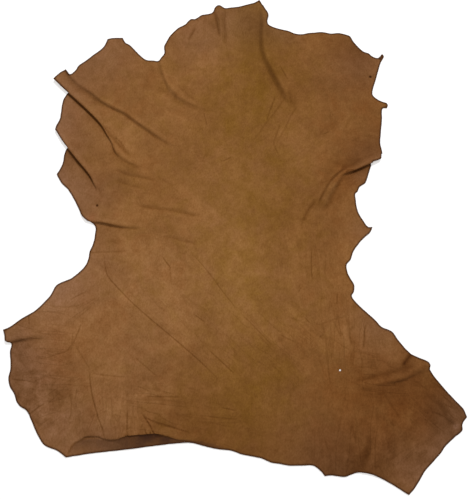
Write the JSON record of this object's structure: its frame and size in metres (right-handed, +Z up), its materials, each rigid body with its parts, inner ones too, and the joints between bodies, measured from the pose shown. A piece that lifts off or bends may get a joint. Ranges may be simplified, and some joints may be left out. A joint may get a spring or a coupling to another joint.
{
  "type": "leather hide",
  "caption": "Whole tanned hide of thin suede leather with its natural ragged outline, lying flat with soft pleats and creases.",
  "frame": {"origin": "middle of the hide's bounding rectangle, on the plane it lies on", "axes": "+Y along the spine towards the neck, +X to the right seen from above with the neck up, +Z up out of the suede face"},
  "size_m": [0.678, 0.78, 0.0092],
  "materials": {
    "suede": "brown suede with a short raised nap, matte, softly mottled"
  },
  "bodies": {
    "root": {"hide": "suede"}
  },
  "joints": []
}
